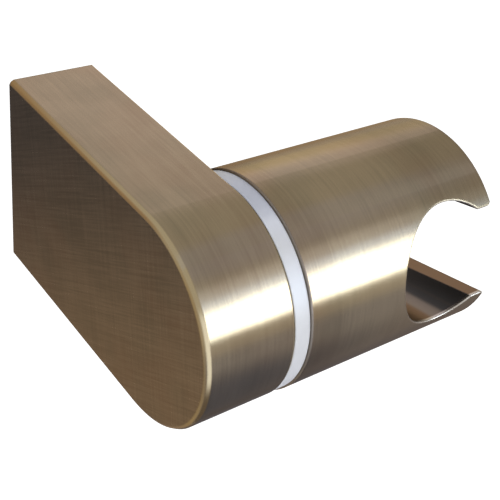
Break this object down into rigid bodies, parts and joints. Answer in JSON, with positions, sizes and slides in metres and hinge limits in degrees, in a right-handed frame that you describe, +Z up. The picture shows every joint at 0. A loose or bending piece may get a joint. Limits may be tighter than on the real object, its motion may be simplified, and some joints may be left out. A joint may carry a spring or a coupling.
{
  "type": "hand shower holder",
  "caption": "Wall-mounted hand shower holder: a D-shaped brushed brass base, a white friction ring and a round swivel with a slotted conical socket for the hose cone.",
  "frame": {"origin": "on the wall plane, at the middle of the base's back", "axes": "+Y into the wall, -Y out into the room, +X along the swivel axis towards the socket, +Z up"},
  "size_m": [0.0642, 0.0682, 0.0404],
  "materials": {
    "antique_brass": "brushed antique brass with a satin lacquer",
    "white_plastic": "smooth moulded white",
    "nylon": "natural nylon",
    "plated_steel": "zinc plated",
    "screw_steel": "plain stainless"
  },
  "bodies": {
    "base": {"base_housing": "antique_brass", "wall_plate": "plated_steel", "grub_screw": "screw_steel", "friction_ring": "white_plastic", "pivot_screw": "screw_steel", "flat_washer": "plated_steel", "spring_washer": "screw_steel", "lock_nut": "plated_steel"},
    "swivel": {"swivel_holder": "antique_brass", "pivot_bush": "nylon"}
  },
  "joints": [
    {"name": "swivel_turn", "type": "hinge", "parent": "base", "child": "swivel", "pos_m": [0.0332, -0.048, 0], "axis": [1, 0, 0], "continuous": true}
  ]
}
